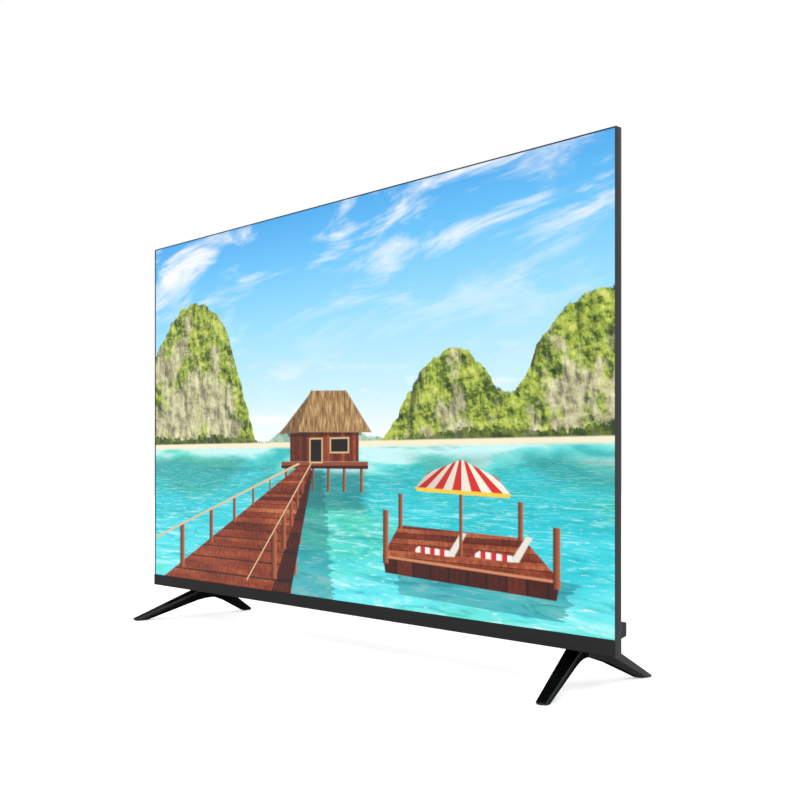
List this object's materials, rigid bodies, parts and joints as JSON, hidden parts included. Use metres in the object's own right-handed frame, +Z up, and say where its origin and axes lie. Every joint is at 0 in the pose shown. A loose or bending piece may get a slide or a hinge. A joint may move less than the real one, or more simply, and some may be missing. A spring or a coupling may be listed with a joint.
{
  "type": "digital signage display",
  "caption": "Flat LED signage display with a thin frame, a bar below the picture, a deeper rear housing with sockets and two splayed feet.",
  "frame": {"origin": "on the standing surface, under the middle of the bounding box", "axes": "+X to the viewer's right along the picture, +Y to the back, +Z up"},
  "size_m": [0.9442, 0.2051, 0.5961],
  "materials": {
    "frame_dark": "fine satin, dark grey",
    "bar_dark": "satin dark grey",
    "panel_glass": "lit picture behind a matt polariser",
    "window_red": "dark infrared window",
    "key_black": "smooth",
    "pcb_green": "solder mask",
    "pcb_tan": "paper laminate",
    "white_plastic": "moulded",
    "film": "translucent film",
    "diffuser": "frosted",
    "reflector": "white foil",
    "led_board": "white solder mask",
    "lens_clear": "clear",
    "flex_amber": "polyimide",
    "tray_steel": "black, finely textured",
    "housing_black": "black, moulded texture",
    "screw_dark": "black zinc",
    "screw_bright": "zinc",
    "boss_steel": "turned",
    "foot_gloss": "gloss black",
    "rubber": "matt",
    "bracket_steel": "zinc",
    "socket_metal": "nickel",
    "socket_black": "moulded",
    "rocker_black": "smooth",
    "chip_black": "epoxy",
    "heat_sink": "extruded",
    "ferrite": "taped core",
    "can_black": "sleeved",
    "ribbon_white": "flat cable",
    "shield_can": "tinned",
    "speaker_case": "moulded",
    "speaker_frame": "pressed",
    "speaker_cone": "pressed paper",
    "speaker_rubber": "soft",
    "lead_black": "insulated"
  },
  "bodies": {
    "display": {"audio_jacks": "socket_black", "back_tray": "tray_steel", "backlight_lead": "lead_black", "bezel_left": "frame_dark", "bezel_right": "frame_dark", "bezel_top": "frame_dark", "board_screws": "screw_bright", "board_standoffs": "screw_bright", "bottom_bar": "bar_dark", "capacitors": "can_black", "diffuser_plate": "diffuser", "diffuser_supports": "white_plastic", "foot_bracket_left": "bracket_steel", "foot_bracket_right": "bracket_steel", "foot_left": "foot_gloss", "foot_pads": "rubber", "foot_right": "foot_gloss", "foot_screws": "screw_dark", "hdmi_sockets": "socket_metal", "heat_sink": "heat_sink", "housing_screws": "screw_dark", "ir_window": "window_red", "key_board": "pcb_green", "lcd_cell": "panel_glass", "led_bars": "led_board", "led_lenses": "lens_clear", "main_board": "pcb_green", "main_board_parts": "chip_black", "mains_inlet": "socket_black", "mains_leads": "lead_black", "mid_frame": "white_plastic", "network_socket": "socket_metal", "optical_films": "film", "optical_socket": "socket_black", "panel_flexes": "flex_amber", "power_board": "pcb_tan", "radio_module": "shield_can", "rear_housing": "housing_black", "reflector_sheet": "reflector", "ribbon_cables": "ribbon_white", "rocker_body": "socket_black", "source_boards": "pcb_green", "speaker_box_left": "speaker_case", "speaker_box_right": "speaker_case", "speaker_frame_left": "speaker_frame", "speaker_frame_right": "speaker_frame", "speaker_leads": "lead_black", "speaker_surround_left": "speaker_rubber", "speaker_surround_right": "speaker_rubber", "switch_heat_sink": "heat_sink", "timing_board": "pcb_green", "timing_board_parts": "chip_black", "transformers": "ferrite", "tuner_socket": "socket_metal", "usb_sockets": "socket_metal", "wall_mount_bosses": "boss_steel"},
    "power_key": {"power_key": "key_black"},
    "rocker": {"rocker": "rocker_black"},
    "speaker_cone_left": {"speaker_cone_left": "speaker_cone"},
    "speaker_cone_right": {"speaker_cone_right": "speaker_cone"}
  },
  "joints": [
    {"name": "power_key_press", "type": "slide", "parent": "display", "child": "power_key", "axis": [0, 0, 1], "range_m": [0, 0.0006], "stiffness_N_per_m": 600, "springref_m": -0.0003},
    {"name": "rocker_tilt", "type": "hinge", "parent": "display", "child": "rocker", "pos_m": [0.25, 0.03065, 0.1124], "axis": [1, 0, 0], "range_deg": [0, 12]},
    {"name": "cone_left_travel", "type": "slide", "parent": "display", "child": "speaker_cone_left", "axis": [0, 0, 1], "range_m": [-0.0008, 0.0008], "stiffness_N_per_m": 800},
    {"name": "cone_right_travel", "type": "slide", "parent": "display", "child": "speaker_cone_right", "axis": [0, 0, 1], "range_m": [-0.0008, 0.0008], "stiffness_N_per_m": 800}
  ]
}
